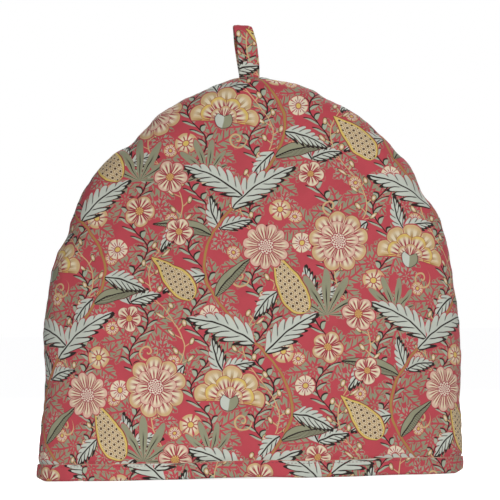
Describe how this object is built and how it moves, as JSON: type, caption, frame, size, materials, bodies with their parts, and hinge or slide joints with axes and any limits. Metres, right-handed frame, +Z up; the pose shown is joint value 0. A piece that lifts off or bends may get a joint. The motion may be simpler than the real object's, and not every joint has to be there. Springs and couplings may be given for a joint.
{
  "type": "tea cosy",
  "caption": "Padded fabric tea cosy: an arched, hollow cover of front and back panels with a bound hem and a hanging loop at the crown.",
  "frame": {"origin": "on the surface the hem rests on, under the middle of the cosy", "axes": "+Z up towards the hanging loop, -Y out of the front panel, +X to the right as seen from the front"},
  "size_m": [0.3436, 0.149, 0.3632],
  "materials": {
    "printed_cotton": "matt printed cotton, floral on crimson",
    "binding_cotton": "matt printed cotton strip, stitched along its upper edge",
    "loop_cotton": "matt printed cotton strip, folded"
  },
  "bodies": {
    "root": {"front_panel": "printed_cotton", "back_panel": "printed_cotton", "hem_binding": "binding_cotton", "hanging_loop": "loop_cotton"}
  },
  "joints": []
}
